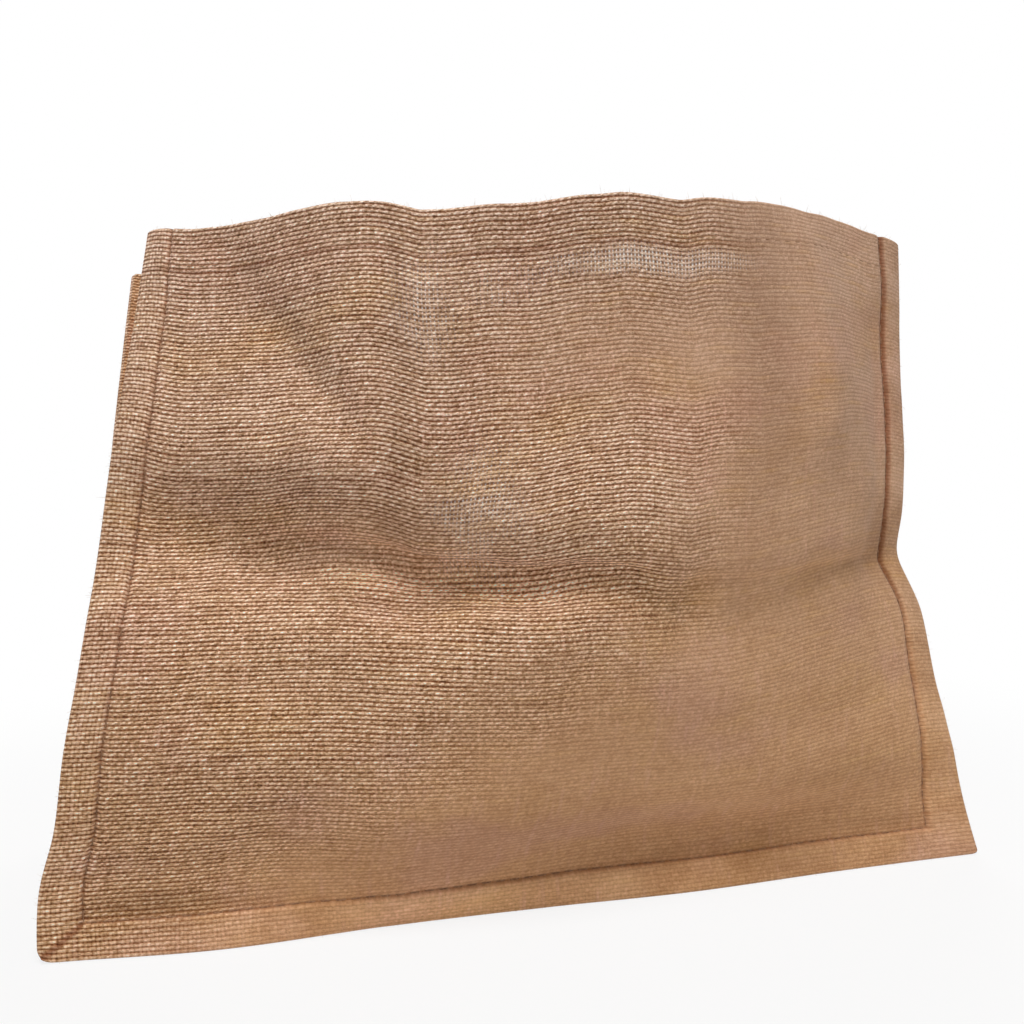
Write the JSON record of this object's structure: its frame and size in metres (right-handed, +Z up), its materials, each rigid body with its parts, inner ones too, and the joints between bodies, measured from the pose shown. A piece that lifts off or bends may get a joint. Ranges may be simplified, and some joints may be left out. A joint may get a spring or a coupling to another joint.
{
  "type": "jute shopping bag",
  "caption": "Open jute shopping bag without handles, standing on its base, with outward seam flanges, a hemmed mouth and a crease across from having been folded.",
  "frame": {"origin": "middle of the base, on the surface that the bag stands on", "axes": "+X to the right along the front panel, +Y from the front panel to the back panel, +Z up to the mouth"},
  "size_m": [0.469, 0.3687, 0.3428],
  "materials": {
    "jute": "natural tan plain-weave jute, matt, with loose fibres"
  },
  "bodies": {
    "root": {"front_panel": "jute", "back_panel": "jute", "gusset": "jute"}
  },
  "joints": []
}
